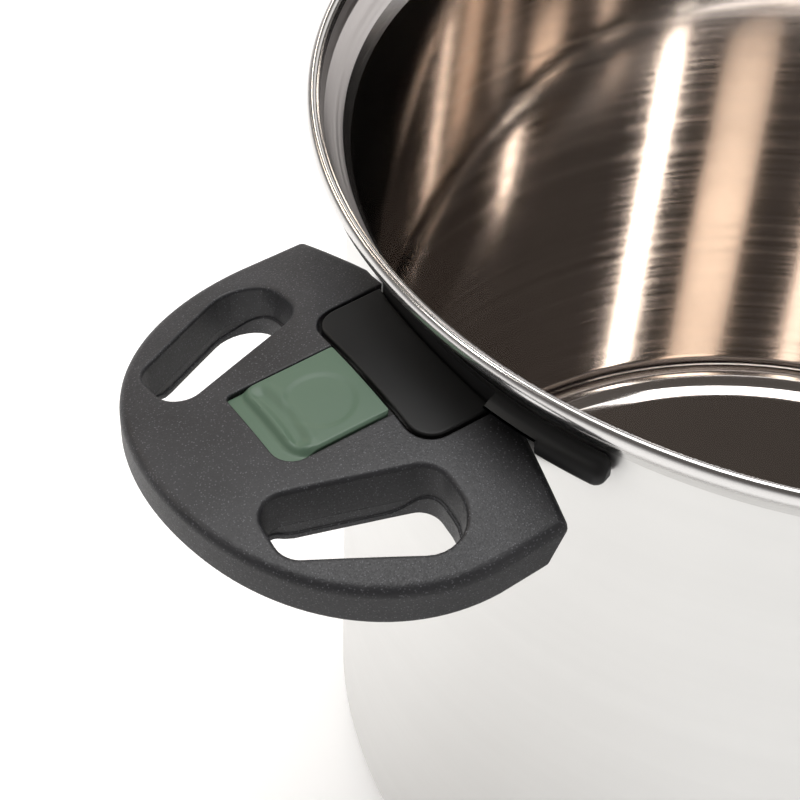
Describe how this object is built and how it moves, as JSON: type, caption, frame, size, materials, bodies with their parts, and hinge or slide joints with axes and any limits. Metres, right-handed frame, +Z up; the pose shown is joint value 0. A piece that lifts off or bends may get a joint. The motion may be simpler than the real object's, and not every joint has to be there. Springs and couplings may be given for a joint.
{
  "type": "stovetop pressure cooker",
  "caption": "Deep stainless steel pressure cooker pot with folding black side handles and green release sliders; its clamp lid lies upside down beside it.",
  "frame": {"origin": "centre of the flat underside of the pot's base, where the pot stands", "axes": "+Z up along the pot's axis; X runs through the two side handles; the lid lies on the -Y side"},
  "size_m": [0.3448, 0.52, 0.1909],
  "materials": {
    "pot_steel": "satin brushed stainless steel, mirror polished inside the pot and under the rim",
    "bright_steel": "bright turned or pressed stainless steel",
    "core_aluminium": "plain rolled disc",
    "grip_plastic": "charcoal thermoplastic with a fine speckled texture",
    "smooth_black": "smooth black moulding",
    "sage_plastic": "smooth grey-green moulding",
    "gasket_rubber": "translucent grey silicone",
    "signal_plastic": "red moulding"
  },
  "bodies": {
    "pot": {"pot_body": "pot_steel", "base_core": "core_aluminium", "base_cap": "pot_steel", "left_bracket": "smooth_black", "left_bracket_cover": "smooth_black", "left_wall_stud_1": "bright_steel", "left_wall_stud_2": "bright_steel", "left_stud_nut_1": "bright_steel", "left_stud_nut_2": "bright_steel", "left_hinge_pin": "bright_steel", "right_bracket": "smooth_black", "right_bracket_cover": "smooth_black", "right_wall_stud_1": "bright_steel", "right_wall_stud_2": "bright_steel", "right_stud_nut_1": "bright_steel", "right_stud_nut_2": "bright_steel", "right_hinge_pin": "bright_steel"},
    "left_handle": {"left_grip": "grip_plastic", "left_latch_cover": "grip_plastic", "left_latch_screw_1": "bright_steel", "left_latch_screw_2": "bright_steel", "left_latch_spring": "bright_steel"},
    "left_release": {"left_release_slider": "sage_plastic", "left_latch_bolt": "bright_steel"},
    "right_handle": {"right_grip": "grip_plastic", "right_latch_cover": "grip_plastic", "right_latch_screw_1": "bright_steel", "right_latch_screw_2": "bright_steel", "right_latch_spring": "bright_steel"},
    "right_release": {"right_release_slider": "sage_plastic", "right_latch_bolt": "bright_steel"},
    "lid": {"lid_shell": "pot_steel", "lid_gasket": "gasket_rubber", "lid_bridge": "grip_plastic", "bridge_screw_1": "bright_steel", "bridge_screw_2": "bright_steel", "bridge_screw_3": "bright_steel", "bridge_screw_4": "bright_steel", "steam_pipe": "bright_steel", "indicator_bush": "bright_steel", "safety_valve": "bright_steel"},
    "jaw_left": {"lid_jaw_left": "pot_steel"},
    "jaw_right": {"lid_jaw_right": "pot_steel"},
    "lock_knob": {"lid_knob": "smooth_black", "knob_spindle": "bright_steel", "cam_plate": "bright_steel"},
    "regulator": {"pressure_regulator": "smooth_black"},
    "indicator": {"indicator_pin": "signal_plastic"}
  },
  "joints": [
    {"name": "left_handle_fold", "type": "hinge", "parent": "pot", "child": "left_handle", "pos_m": [-0.1165, 0, 0.1665], "axis": [0, -1, 0], "range_deg": [0, 85]},
    {"name": "left_release_slide", "type": "slide", "parent": "left_handle", "child": "left_release", "axis": [-0.996, 0, -0.0896], "range_m": [0, 0.003], "stiffness_N_per_m": 400, "springref_m": -0.004, "deforming": ["left_latch_spring"]},
    {"name": "right_handle_fold", "type": "hinge", "parent": "pot", "child": "right_handle", "pos_m": [0.1165, 0, 0.1665], "axis": [0, 1, 0], "range_deg": [0, 85]},
    {"name": "right_release_slide", "type": "slide", "parent": "right_handle", "child": "right_release", "axis": [0.996, 0, -0.0896], "range_m": [0, 0.003], "stiffness_N_per_m": 400, "springref_m": -0.004, "deforming": ["right_latch_spring"]},
    {"name": "lid_swing", "type": "hinge", "parent": "pot", "child": "lid", "pos_m": [0, -0.139, 0.1245], "axis": [-1, 0, 0], "range_deg": [0, 180]},
    {"name": "lock_knob_turn", "type": "hinge", "parent": "lid", "child": "lock_knob", "pos_m": [0, -0.278, 0.03], "axis": [0, 0, -1], "range_deg": [0, 90]},
    {"name": "jaw_left_slide", "type": "slide", "parent": "lid", "child": "jaw_left", "axis": [1, 0, 0], "range_m": [0, 0.005]},
    {"name": "jaw_right_slide", "type": "slide", "parent": "lid", "child": "jaw_right", "axis": [-1, 0, 0], "range_m": [0, 0.005]},
    {"name": "regulator_turn", "type": "hinge", "parent": "lid", "child": "regulator", "pos_m": [0, -0.338, 0.025], "axis": [0, 0, -1], "range_deg": [0, 120]},
    {"name": "indicator_rise", "type": "slide", "parent": "lid", "child": "indicator", "axis": [0, 0, -1], "range_m": [-0.003, 0]}
  ],
  "couplings": [
    {"joint": "lock_knob_turn", "follows": "jaw_left_slide", "rad_per_m": 314.1},
    {"joint": "jaw_right_slide", "follows": "jaw_left_slide", "ratio": 1}
  ]
}
